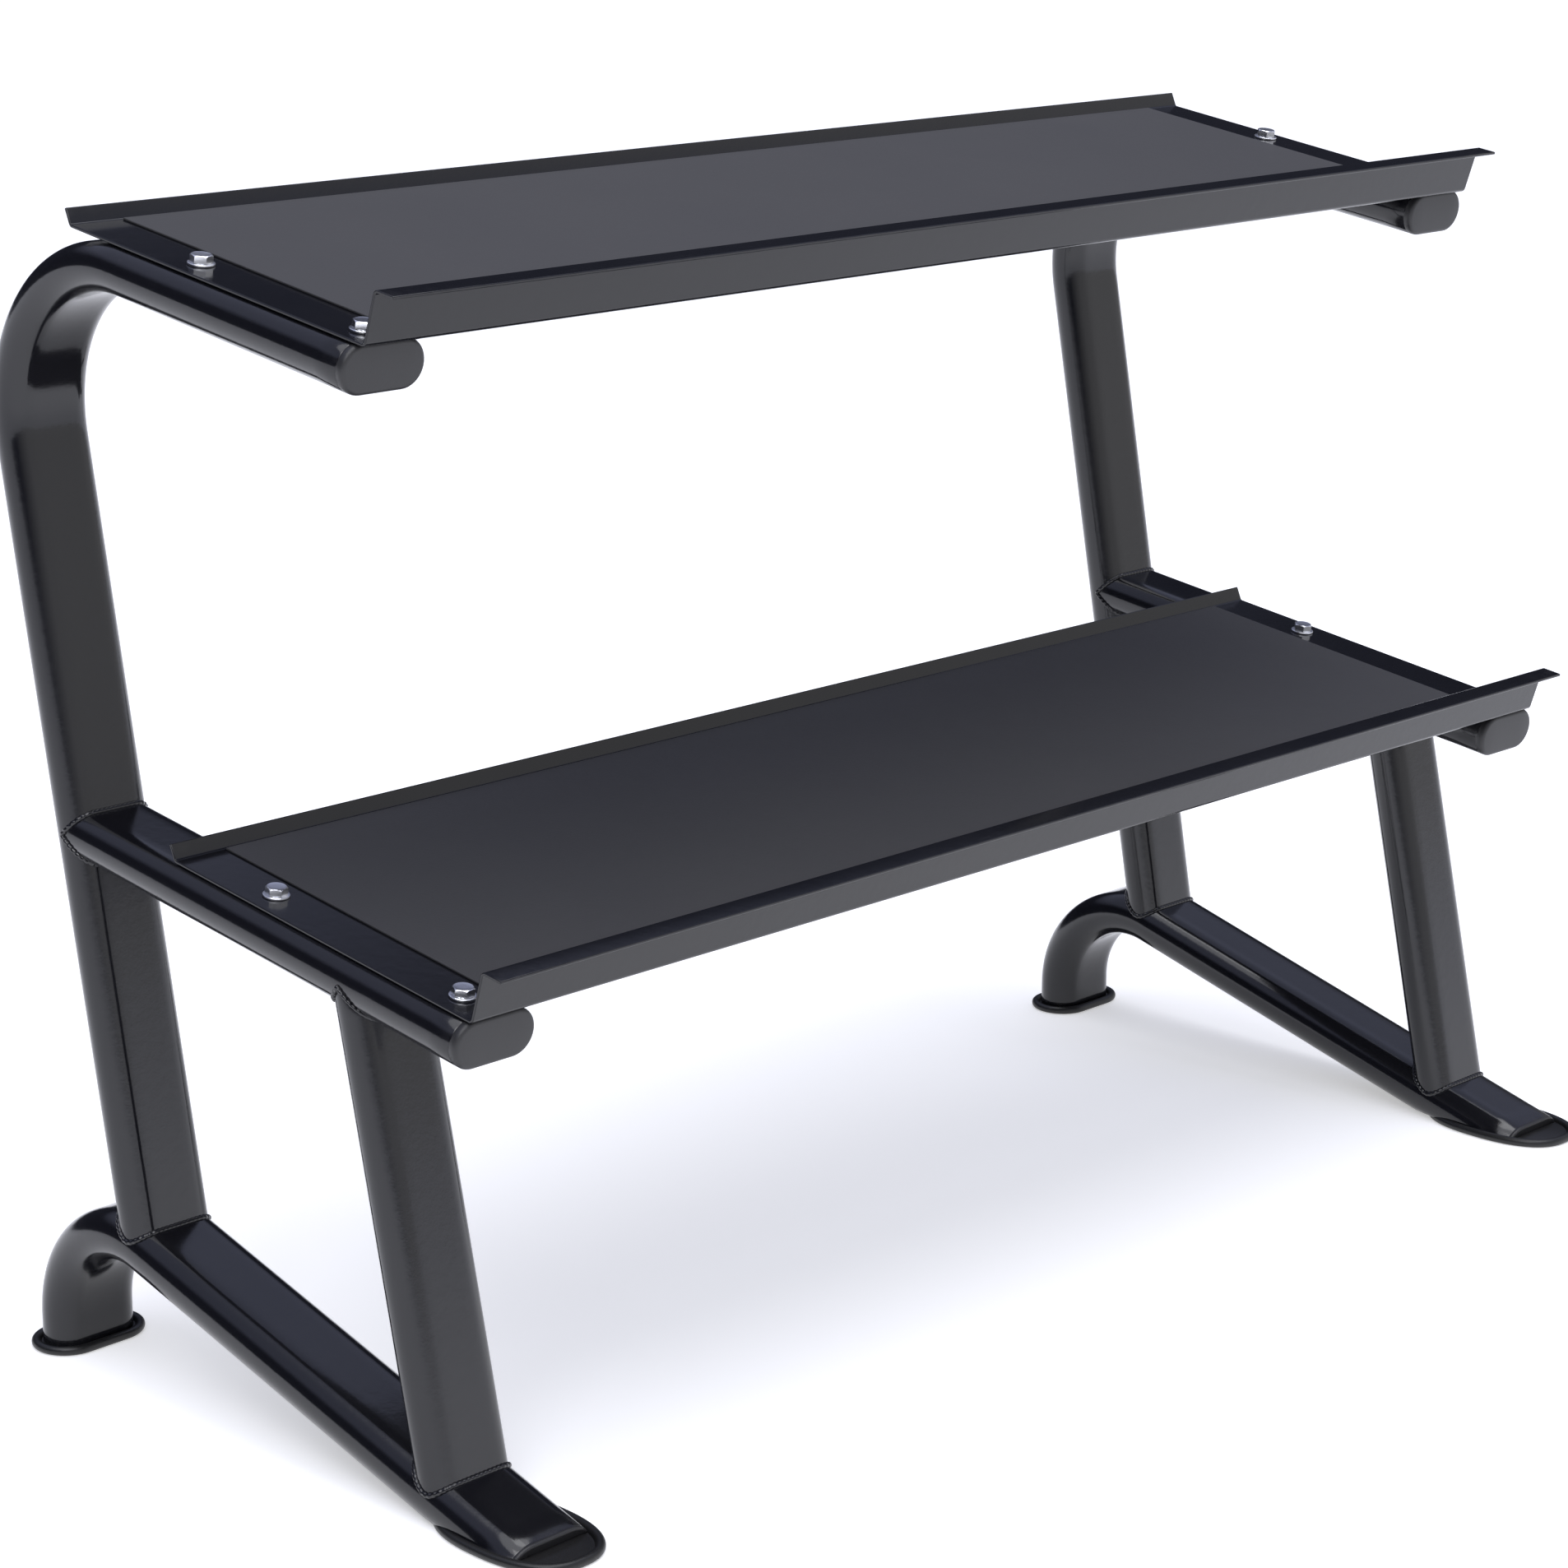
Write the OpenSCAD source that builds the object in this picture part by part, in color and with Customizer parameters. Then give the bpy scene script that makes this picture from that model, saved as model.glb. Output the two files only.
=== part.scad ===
// Two-tier dumbbell rack: two bent-tube side frames carry two folded sheet trays.
// X runs along the rack, -Y is the front, +Z is up. The origin is on the floor,
// midway between the two ends and midway between the front and rear foot pads.

/* [Overall] */
// Length over the outer faces of the two side frames
rack_length = 1376; // [900:1:1900]
// Depth over the rear and front foot pads
rack_depth = 664; // [540:1:820]
// Height of the upper arm's centre line at its front end
upper_arm_h = 889; // [700:1:1150]
// Height of the lower arm's centre line at its front end
lower_arm_h = 398; // [320:1:500]

/* [Side frame] */
// Width of the flat-oval frame tube, along the rack
tube_w = 80; // [60:1:100]
// Thickness of the frame tube, across the bends
tube_t = 40; // [30:1:50]
// Wall of the tubes
tube_wall = 2.5; // [1.5:0.1:4]
// Width of the foot tube, along the rack
foot_w = 84; // [62:1:104]
// Thickness of the foot tube, across its bend
foot_t = 44; // [32:1:54]
// Bend radius of the upright, on the tube's centre line
upright_bend_r = 130; // [90:1:145]
// Bend radius of the foot tube, on the tube's centre line
foot_bend_r = 96; // [70:1:103]
// Least straight tube above the rear foot pad; a short rack gets a tighter foot bend to keep it
foot_stand = 15; // [10:1:20]
// Backward lean of the upright, in degrees
upright_lean = 10.5; // [4:0.1:14]
// Forward fall of the upper arm, in degrees
upper_tilt = 8.9; // [4:0.1:14]
// Forward fall of the lower arm, in degrees
lower_tilt = 8.2; // [4:0.1:14]
// Forward fall of the foot tube, in degrees
foot_fall = 15.4; // [13:0.1:18]
// Distance from the back of the rack to the upright's centre line at the floor
upright_in = 173; // [150:1:220]
// Distance from that point forward to the end of the upper arm
upper_reach = 282; // [240:1:350]
// Distance from that point forward to the end of the lower arm
lower_reach = 391; // [330:1:450]
// Distance from the front of the rack back to the foot of the leg
leg_foot_in = 138; // [120:1:170]
// Distance from the end of the lower arm back to the top of the leg
leg_top_in = 127; // [90:1:160]
// Distance from the front of the rack back to the end of the foot tube
nose_in = 46; // [36:1:60]
// Height of the foot tube's top face at its front end
nose_h = 15; // [13:0.5:20]
// Leg of the weld fillets
weld_leg = 5; // [3:0.5:7]
// Clearance of a coped tube end at the rounded sides of the tube that it meets
cope_gap = 0.2; // [0.1:0.1:0.5]

/* [Caps and pads] */
// Length that an arm cap shows in front of the tube
cap_len = 8; // [6:1:16]
// Radius of an arm cap's front edge
cap_edge_r = 4; // [2:0.5:5.5]
// Length of an arm cap's plug inside the tube
cap_plug_len = 20; // [12:1:30]
// Clearance between a plug and the tube's inner face
plug_gap = 0.3; // [0.1:0.1:0.6]
// Room round a front bolt's nut in the notch of a cap's plug
notch_gap = 1; // [0.5:0.1:3]
// Thickness of a foot pad under the tube
pad_t = 4; // [3:0.5:6]
// Diameter of the bead round a foot pad
bead_d = 8; // [7:0.5:9]
// Overhang of the rear pad round the tube
rear_pad_over = 10; // [9:0.5:14]
// Width of the front pad
front_pad_w = 98; // [94:1:120]
// Length of the front pad
front_pad_len = 154; // [146:1:180]
// Clearance between the front pad's bead and the tube over it
pad_gap = 0.5; // [0.3:0.1:1]
// Thickness of the cap on the front end of the foot tube
nose_cap_t = 4; // [2:0.5:6]

/* [Trays] */
// Sheet thickness of the trays
sheet_t = 2.5; // [1.5:0.1:3.5]
// Inside radius of the folds
fold_r = 2.5; // [1.5:0.5:4]
// Depth of the tray floor, fold to fold
tray_depth = 361; // [310:1:430]
// Height of the front flange
front_flange_h = 43; // [30:1:60]
// Forward flare of the front flange
front_flare = 7; // [3:1:12]
// Width of the lip on the front flange
front_lip = 20; // [12:1:30]
// Height of the rear flange
rear_flange_h = 13; // [10:1:30]
// Backward flare of the rear flange
rear_flare = 8; // [4:1:12]
// Distance from the frame's outer face in to the end of a tray
tray_end_in = 12; // [4:1:20]
// Overhang of the upper tray in front of its arm
upper_overhang = 17; // [10:1:26]
// Overhang of the lower tray in front of its arm
lower_overhang = 11; // [10:1:26]
// Thickness of the liner on the tray floor
liner_t = 2; // [1:0.5:4]
// Clearance between the liner and the folds
liner_gap = 1; // [0.5:0.5:3]

/* [Fixings] */
// Thread diameter of the tray bolts
bolt_d = 10; // [8:1:12]
// Length of the tray bolts under the head
bolt_len = 25; // [20:1:30]
// Clearance of the bolt holes over the thread
hole_gap = 1; // [0.5:0.1:1.5]
// Clearance between thread and nut
thread_gap = 0.2; // [0.1:0.1:0.4]
// Bolt line outward from the tube's centre line
bolt_out = 4; // [0:0.5:6]
// Bolt line to the edge of the liner
liner_bolt_gap = 24; // [18:1:34]
// Front fold to the front and rear bolts of the upper tray
upper_bolt_u = [31, 225]; // [25:1:250]
// Front fold to the front and rear bolts of the lower tray
lower_bolt_u = [39, 262]; // [25:1:300]

/* [Hidden] */
$fn = 96;
// How far a bend reaches into the straight tube on each side, in degrees, and how much
// slimmer it is all round, so that its skin stays inside the straight tube's skin
bend_lap = 0.3;
bend_slim = 0.02;
$slim = 0;
// The same for the folds of the sheet
fold_lap = 3;
fold_slim = 0.02;

// Where things are along the rack
frame_x = (rack_length - tube_w) / 2;
tray_x = rack_length / 2 - tray_end_in;
bolt_x = frame_x + bolt_out;
liner_x = bolt_x - liner_bolt_gap;
tube_flat = tube_w - tube_t;
foot_flat = foot_w - foot_t;

// Side view, as [y, z] points and angles from +Y
upright_y = rack_depth / 2 - upright_in;
rear_foot_y = rack_depth / 2 - rear_pad_over - foot_t / 2;
nose_y = nose_in - rack_depth / 2;
upright_a = 90 - upright_lean;
half_t = tube_t / 2;
foot_half_t = foot_t / 2;
nose = [nose_y, nose_h - foot_half_t / cos(foot_fall)];
upright_foot = [upright_y, 0];
upper_end = [upright_y - upper_reach, upper_arm_h];
lower_end = [upright_y - lower_reach, lower_arm_h];
foot_corner = meet(nose, foot_fall, [rear_foot_y, 0], 90);
upright_base = meet(nose, foot_fall, upright_foot, upright_a);
upper_corner = meet(upper_end, upper_tilt, upright_foot, upright_a);
lower_root = meet(lower_end, lower_tilt, upright_foot, upright_a);
leg_base = meet(nose, foot_fall, [leg_foot_in - rack_depth / 2, 0], 90);
leg_top = meet(lower_end, lower_tilt, [lower_end[0] + leg_top_in, 0], 90);
leg_a = heading(leg_base, leg_top);

// Bends and the straight lengths between them
upright_turn = 180 + upper_tilt - upright_a;
upright_trim = upright_bend_r * tan(upright_turn / 2);
upright_steps = [
    [norm(upper_corner - upright_base) - upright_trim, 0],
    [upright_bend_r, upright_turn],
    [norm(upper_corner - upper_end) - upright_trim, 0]
];
foot_turn = 90 + foot_fall;
foot_bend_fit = min(foot_bend_r, (foot_corner[1] - pad_t - foot_stand) / tan(foot_turn / 2));
foot_trim = foot_bend_fit * tan(foot_turn / 2);
foot_steps = [
    [foot_corner[1] - foot_trim - pad_t, 0],
    [foot_bend_fit, foot_turn],
    [norm(foot_corner - nose) - foot_trim, 0]
];

// Folded sheet, measured on the tray's lower face
front_fold_a = 90 - atan(front_flare / front_flange_h);
rear_fold_a = 90 - atan(rear_flare / rear_flange_h);
front_flange_len = norm([front_flange_h, front_flare]);
rear_flange_len = norm([rear_flange_h, rear_flare]);
front_fold_trim = (fold_r + sheet_t) * tan(front_fold_a / 2);
rear_fold_trim = (fold_r + sheet_t) * tan(rear_fold_a / 2);
lip_fold_trim = fold_r * tan(front_fold_a / 2);

// Hexagon bolt, washer and nut of one thread size
hex_af = 1.6 * bolt_d;
bolt_head_h = 0.64 * bolt_d;
hex_chamfer = 0.06 * bolt_d;
washer_d = 2.2 * bolt_d;
washer_t = 0.2 * bolt_d;
nut_h = 0.8 * bolt_d;
hex_corner_r = hex_af / 2 / cos(30);

// Intersection of the line through p at angle a and the line through q at angle b
function meet(p, a, q, b) =
    let (u = [cos(a), sin(a)], v = [cos(b), sin(b)], d = q - p)
    p + u * (d[0] * v[1] - d[1] * v[0]) / (u[0] * v[1] - u[1] * v[0]);
// Angle of the line from p to q
function heading(p, q) = atan2(q[1] - p[1], q[0] - p[0]);
// Point p moved by d to the left of angle a
function aside(p, a, d) = p + d * [-sin(a), cos(a)];
// Corner between the face d1 aside of one line and the face d2 aside of another
function corner(p, a, d1, q, b, d2) = meet(aside(p, a, d1), a, aside(q, b, d2), b);

// Flat oval with full-round sides, drawn smaller all round by inset
module flat_oval(inset = 0, flat = tube_flat, thick = tube_t) {
    size = thick - 2 * (inset + $slim);
    for (s = [-1, 1]) translate([s * flat / 2, 0]) circle(d = size);
    square([flat, size], center = true);
}

module foot_oval(inset = 0) {
    flat_oval(inset, foot_flat, foot_t);
}

// Sections that cut a coped end to fit over a frame tube or the foot tube
module frame_cutter() {
    flat_oval(0, tube_flat + 2 * cope_gap);
}

module foot_cutter() {
    flat_oval(0, foot_flat + 2 * cope_gap, foot_t);
}

module oval_ring() {
    difference() {
        flat_oval();
        flat_oval(tube_wall - 2 * $slim);
    }
}

module foot_ring() {
    difference() {
        foot_oval();
        foot_oval(tube_wall - 2 * $slim);
    }
}

// Carries a section along straight steps [length, 0] and bends [radius, angle],
// starting up local +Z and bending towards local -Y
module along(steps, k = 0) {
    if (k < len(steps)) {
        size = steps[k][0];
        turn = steps[k][1];
        if (turn == 0) {
            linear_extrude(size) children();
            translate([0, 0, size]) along(steps, k + 1) children();
        } else {
            translate([0, -size, 0]) rotate([turn, 0, 0]) translate([0, size, 0])
                along(steps, k + 1) children();
            translate([0, -size, 0]) rotate([90 - bend_lap, 0, 0]) rotate([0, 90, 0])
                rotate_extrude(angle = turn + 2 * bend_lap) translate([size, 0]) rotate(90)
                    let ($slim = bend_slim) children();
        }
    }
}

// Places local +Z along angle a from point p of the side view
module from_point(p, a) {
    translate([0, p[0], p[1]]) rotate([a - 90, 0, 0]) children();
}

module at_side(side) {
    translate([side * frame_x, 0, 0]) children();
}

// Everything above the cut through the front of the foot tube
module above_pad() {
    size = 2 * rack_depth;
    intersection() {
        children();
        translate([-size / 2, -size / 2, pad_t]) cube(size);
    }
}

// The four runs of tube, each carrying the section it is given
module upright_run() {
    from_point(upright_base, upright_a) along(upright_steps) children();
}

module foot_run() {
    translate([0, rear_foot_y, pad_t]) along(foot_steps) children();
}

module lower_arm_run() {
    from_point(lower_end, lower_tilt) linear_extrude(norm(lower_root - lower_end)) children();
}

module leg_run() {
    from_point(leg_base, leg_a) linear_extrude(norm(leg_top - leg_base)) children();
}

// Local axes of an arm's top face: origin at the arm's front end, +Y to the rear
module on_arm(end, tilt) {
    p = aside(end, tilt, half_t);
    translate([0, p[0], p[1]]) rotate([tilt, 0, 0]) children();
}

module upper_bolt_places(sides = [-1, 1]) {
    on_arm(upper_end, upper_tilt) for (u = upper_bolt_u, s = sides)
        translate([s * bolt_x, u - upper_overhang, 0]) children();
}

module lower_bolt_places(sides = [-1, 1]) {
    on_arm(lower_end, lower_tilt) for (u = lower_bolt_u, s = sides)
        translate([s * bolt_x, u - lower_overhang, 0]) children();
}

// Hole through the tray floor and the tube's top wall, and no deeper
module bolt_hole() {
    reach = tube_wall + 1;
    translate([0, 0, -reach]) cylinder(d = bolt_d + hole_gap, h = reach + sheet_t + 1);
}

// Frame tubes
module upright_tube(side) {
    color("#2a2b30") difference() {
        at_side(side) difference() {
            upright_run() oval_ring();
            foot_run() foot_cutter();
        }
        upper_bolt_places([side]) bolt_hole();
    }
}

module lower_arm_tube(side) {
    color("#2a2b30") difference() {
        at_side(side) difference() {
            lower_arm_run() oval_ring();
            upright_run() frame_cutter();
        }
        lower_bolt_places([side]) bolt_hole();
    }
}

module front_leg_tube(side) {
    color("#2a2b30") at_side(side) difference() {
        leg_run() oval_ring();
        foot_run() foot_cutter();
        lower_arm_run() frame_cutter();
    }
}

module foot_tube(side) {
    color("#2a2b30") at_side(side) above_pad() foot_run() foot_ring();
}

// Fillet between two faces that meet at p and leave it at angles a and b
module weld_fillet(p, a, b) {
    translate([-tube_flat / 2, p[0], p[1]]) rotate([90, 0, 90]) linear_extrude(tube_flat)
        polygon([[0, 0], weld_leg * [cos(a), sin(a)], weld_leg * [cos(b), sin(b)]]);
}

module weld_fillets(side) {
    color("#3a3b40") at_side(side) for (s = [-1, 1]) {
        weld_fillet(corner(nose, foot_fall, foot_half_t, upright_foot, upright_a, s * half_t),
            upright_a, foot_fall + 90 + s * 90);
        weld_fillet(corner(nose, foot_fall, foot_half_t, leg_base, leg_a, s * half_t),
            leg_a, foot_fall + 90 + s * 90);
        weld_fillet(corner(lower_end, lower_tilt, -half_t, leg_base, leg_a, s * half_t),
            leg_a + 180, lower_tilt + 90 + s * 90);
        weld_fillet(corner(lower_end, lower_tilt, s * half_t, upright_foot, upright_a, half_t),
            lower_tilt + 180, upright_a + 90 - s * 90);
    }
}

// Solid of a flat-oval plan: a profile with its axis at x = 0 is turned round both
// ends and carried along the straight sides, which run along X
module racetrack(straight) {
    for (s = [-1, 1]) translate([s * straight / 2, 0, 0]) rotate(-s * 90)
        rotate_extrude(angle = 180) children();
    for (m = [0, 1]) mirror([0, m, 0]) translate([-straight / 2, 0, 0]) rotate([90, 0, 90])
        linear_extrude(straight) children();
}

module arm_cap(side, end, tilt) {
    color("#3b3b3e") {
        at_side(side) from_point(end, tilt) rotate([180, 0, 0]) racetrack(tube_flat) {
            square([half_t, cap_len - cap_edge_r]);
            square([half_t - cap_edge_r, cap_len]);
            translate([half_t - cap_edge_r, cap_len - cap_edge_r]) intersection() {
                circle(cap_edge_r);
                square(cap_edge_r);
            }
        }
        difference() {
            at_side(side) from_point(end, tilt)
                linear_extrude(cap_plug_len) flat_oval(tube_wall + plug_gap);
            children();
        }
    }
}

// Room in a cap's plug for a front bolt and its nut
module plug_notch() {
    translate([0, 0, -1.5 * tube_t]) cylinder(r = hex_corner_r + notch_gap, h = 2 * tube_t);
}

// Cover on the low front end of the foot tube, with a tongue inside the tube
module foot_nose_cap(side) {
    color("#3b3b3e") at_side(side) above_pad() from_point(nose, foot_fall) {
        translate([0, 0, -nose_cap_t]) linear_extrude(nose_cap_t) foot_oval();
        linear_extrude(cap_plug_len) foot_oval(tube_wall + plug_gap);
    }
}

// Pad section: a flat floor out to a round bead that stands on the ground
module pad_profile(out_r) {
    square([out_r - bead_d / 2, pad_t]);
    translate([out_r - bead_d / 2, bead_d / 2]) circle(d = bead_d);
}

module rear_foot_pad(side) {
    color("#1c1c1e") at_side(side) translate([0, rear_foot_y, 0]) racetrack(foot_flat)
        pad_profile(foot_half_t + rear_pad_over);
}

module front_foot_pad(side) {
    color("#1c1c1e") at_side(side) difference() {
        translate([0, (front_pad_len - rack_depth) / 2, 0]) rotate(90)
            racetrack(front_pad_len - front_pad_w) pad_profile(front_pad_w / 2);
        above_pad() foot_run() foot_oval(-pad_gap);
    }
}

// Section of a fold between two angles less than a half turn apart
module fold_sector(from, to) {
    outer = fold_r + sheet_t - fold_slim;
    angles = [from - fold_lap, (from + to) / 2, to + fold_lap];
    intersection() {
        difference() {
            circle(outer);
            circle(fold_r + fold_slim);
        }
        polygon(concat([[0, 0]], [for (a = angles) 2 * outer * [cos(a), sin(a)]]));
    }
}

// Fold towards the sheet's upper face, then the children
module fold_up(a) {
    translate([0, fold_r + sheet_t]) {
        fold_sector(-90, a - 90);
        rotate(a) translate([0, -fold_r - sheet_t]) children();
    }
}

// Fold towards the sheet's lower face, then the children
module fold_down(a) {
    translate([0, -fold_r]) {
        fold_sector(90 - a, 90);
        rotate(-a) translate([0, fold_r]) children();
    }
}

module sheet_run(len) {
    square([len, sheet_t]);
    translate([len, 0]) children();
}

// Tray section with x to the rear, its origin at the front fold of the lower face
module tray_section() {
    translate([front_fold_trim, 0]) sheet_run(tray_depth - front_fold_trim - rear_fold_trim)
        fold_up(rear_fold_a) sheet_run(rear_flange_len - rear_fold_trim);
    mirror([1, 0]) translate([-front_fold_trim, 0]) fold_up(front_fold_a)
        sheet_run(front_flange_len - front_fold_trim - lip_fold_trim)
            fold_down(front_fold_a) sheet_run(front_lip - lip_fold_trim);
}

module tray_body(end, tilt, overhang) {
    on_arm(end, tilt) translate([-tray_x, -overhang, 0]) rotate([90, 0, 90])
        linear_extrude(2 * tray_x) tray_section();
}

module upper_tray() {
    color("#222329") difference() {
        tray_body(upper_end, upper_tilt, upper_overhang);
        upper_bolt_places() bolt_hole();
    }
}

module lower_tray() {
    color("#222329") difference() {
        tray_body(lower_end, lower_tilt, lower_overhang);
        lower_bolt_places() bolt_hole();
    }
}

module liner(end, tilt, overhang) {
    front = front_fold_trim + liner_gap;
    rear = tray_depth - rear_fold_trim - liner_gap;
    color("#47474a") on_arm(end, tilt) translate([-liner_x, front - overhang, sheet_t])
        cube([2 * liner_x, rear - front, liner_t]);
}

// Hexagon with its corners turned off at a shallow cone on one end
module hex_block(height) {
    intersection() {
        cylinder(r = hex_corner_r, h = height, $fn = 6);
        union() {
            cylinder(r = hex_corner_r, h = height - hex_chamfer);
            translate([0, 0, height - hex_chamfer])
                cylinder(r1 = hex_corner_r, r2 = hex_af / 2 - hex_chamfer / 2, h = hex_chamfer);
        }
    }
}

module tray_bolt() {
    seat = sheet_t + washer_t;
    color("#c9ccd0") {
        translate([0, 0, seat]) hex_block(bolt_head_h);
        translate([0, 0, seat - bolt_len]) cylinder(d = bolt_d, h = bolt_len);
    }
}

module tray_washer() {
    color("#c9ccd0") translate([0, 0, sheet_t]) difference() {
        cylinder(d = washer_d, h = washer_t);
        translate([0, 0, -1]) cylinder(d = bolt_d + hole_gap, h = washer_t + 2);
    }
}

// Nut under the tube's top wall
module weld_nut() {
    color("#8d9095") translate([0, 0, -tube_wall]) rotate([180, 0, 0]) difference() {
        hex_block(nut_h);
        translate([0, 0, -1]) cylinder(d = bolt_d + thread_gap, h = nut_h + 2);
    }
}

upright_tube(-1);  // left_upright_tube
upright_tube(1);  // right_upright_tube
lower_arm_tube(-1);  // left_lower_arm_tube
lower_arm_tube(1);  // right_lower_arm_tube
front_leg_tube(-1);  // left_front_leg_tube
front_leg_tube(1);  // right_front_leg_tube
foot_tube(-1);  // left_foot_tube
foot_tube(1);  // right_foot_tube
arm_cap(-1, upper_end, upper_tilt) upper_bolt_places([-1]) plug_notch();  // left_upper_arm_cap
arm_cap(1, upper_end, upper_tilt) upper_bolt_places([1]) plug_notch();  // right_upper_arm_cap
arm_cap(-1, lower_end, lower_tilt) lower_bolt_places([-1]) plug_notch();  // left_lower_arm_cap
arm_cap(1, lower_end, lower_tilt) lower_bolt_places([1]) plug_notch();  // right_lower_arm_cap
foot_nose_cap(-1);  // left_foot_nose_cap
foot_nose_cap(1);  // right_foot_nose_cap
rear_foot_pad(-1);  // left_rear_foot_pad
rear_foot_pad(1);  // right_rear_foot_pad
front_foot_pad(-1);  // left_front_foot_pad
front_foot_pad(1);  // right_front_foot_pad
weld_fillets(-1);  // left_weld_fillets
weld_fillets(1);  // right_weld_fillets
upper_tray();
lower_tray();
liner(upper_end, upper_tilt, upper_overhang);  // upper_tray_liner
liner(lower_end, lower_tilt, lower_overhang);  // lower_tray_liner
upper_bolt_places() tray_bolt();  // upper_tray_bolts
lower_bolt_places() tray_bolt();  // lower_tray_bolts
upper_bolt_places() tray_washer();  // upper_tray_washers
lower_bolt_places() tray_washer();  // lower_tray_washers
upper_bolt_places() weld_nut();  // upper_weld_nuts
lower_bolt_places() weld_nut();  // lower_weld_nuts
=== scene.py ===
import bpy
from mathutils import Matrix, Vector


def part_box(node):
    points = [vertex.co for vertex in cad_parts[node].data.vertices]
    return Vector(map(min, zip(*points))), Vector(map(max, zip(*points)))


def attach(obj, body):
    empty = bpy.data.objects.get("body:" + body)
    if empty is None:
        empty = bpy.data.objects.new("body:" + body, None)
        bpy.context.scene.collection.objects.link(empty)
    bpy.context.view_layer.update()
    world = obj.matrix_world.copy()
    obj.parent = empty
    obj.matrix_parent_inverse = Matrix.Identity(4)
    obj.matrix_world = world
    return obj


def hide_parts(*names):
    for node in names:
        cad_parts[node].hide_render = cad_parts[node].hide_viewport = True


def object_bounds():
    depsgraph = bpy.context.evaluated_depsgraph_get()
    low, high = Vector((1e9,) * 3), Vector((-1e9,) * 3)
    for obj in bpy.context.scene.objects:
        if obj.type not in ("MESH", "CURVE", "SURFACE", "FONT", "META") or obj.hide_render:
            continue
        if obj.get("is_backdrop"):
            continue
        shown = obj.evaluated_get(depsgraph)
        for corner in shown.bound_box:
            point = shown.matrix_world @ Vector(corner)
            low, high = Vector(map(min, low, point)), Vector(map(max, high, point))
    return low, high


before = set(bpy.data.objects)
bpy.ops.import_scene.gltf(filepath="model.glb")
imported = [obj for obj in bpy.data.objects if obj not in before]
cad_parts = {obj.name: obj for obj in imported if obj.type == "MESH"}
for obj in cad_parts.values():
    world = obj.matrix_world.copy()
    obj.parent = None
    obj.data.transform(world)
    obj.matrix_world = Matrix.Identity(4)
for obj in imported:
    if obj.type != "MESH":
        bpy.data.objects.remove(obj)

from types import SimpleNamespace

import bmesh
import bpy
import numpy as np
from mathutils import Matrix

bl_info = {
    "name": "Dumbbell Rack",
    "version": (1, 0, 0),
    "blender": (4, 5, 0),
    "location": "3D View > Sidebar > Rack",
    "description": "Builds a two-tier dumbbell rack with bent-tube side frames and folded trays",
    "category": "Object",
}

CAD_LOW, CAD_HIGH = (np.array(corner, dtype=float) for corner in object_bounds())
SIDES = (("left", -1), ("right", 1))
TIERS = ("upper", "lower")

# Fine details, in metres
RING_SPACING = 0.012
MERGE_WITHIN = 1e-6
CAP_CROWN = 0.0006
PAD_LIFT = 0.0008
HEAD_DISH = 0.00018
LINER_GAP = 0.001
SHEET_EDGE, LINER_EDGE = 0.0007, 0.0006

# Shares, powers and counts
SEAM_RUN = 1.6
NOSE_EDGE = 0.6
PAD_POWER = 2.4
WASHER_POWER = 0.35
WELD_RIPPLES, WELD_SWELL = 52, 0.10
LINER_ROWS, LINER_STEPS, TRAY_STEPS = 30, 60, 25

# Bolt parts as shares of the thread diameter
HEAD_ACROSS, HEAD_HEIGHT, HEAD_CHAMFER = 1.6, 0.64, 0.08
WASHER_INNER, WASHER_OUTER, WASHER_HEIGHT = 0.55, 1.1, 0.2

# Stage: each light is a name, a place, a size and a power
LIGHTS = (("Key", (-3.6, -2.4, 4.2), 2.4, 55.0), ("Top", (0.6, -0.4, 4.8), 3.0, 60.0))
LIT_POINT = (0.0, 0.0, 0.45)
SUN_POWER, SUN_WIDTH, SUN_TURN = 1.3, 60, (12, -14)
FLOOR_REACH, FLOOR_GLOW, SQUARE = 60.0, 0.45, ((-1, -1), (1, -1), (1, 1), (-1, 1))
EYE_PLACE, EYE_DOWN, EYE_TURN = (-2.5055, -2.3782, 1.3533), 15.053, -45.312
EYE_LENS, EYE_SENSOR, EYE_REACH = 91.98, 36.0, 100.0


# Properties

def length(name, default, text):
    """A size in metres, shown in the scene's units."""
    return bpy.props.FloatProperty(name=name, description=text, default=default, min=0.0, unit="LENGTH",
                                   precision=4)


def angle(name, degrees, text):
    """An angle, given in degrees and kept in radians."""
    return bpy.props.FloatProperty(name=name, description=text, default=np.radians(degrees),
                                   subtype="ANGLE")


def colour(name, rgb, text):
    """A linear colour."""
    return bpy.props.FloatVectorProperty(name=name, description=text, default=rgb, size=3, min=0.0,
                                         max=1.0, subtype="COLOR")


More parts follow.
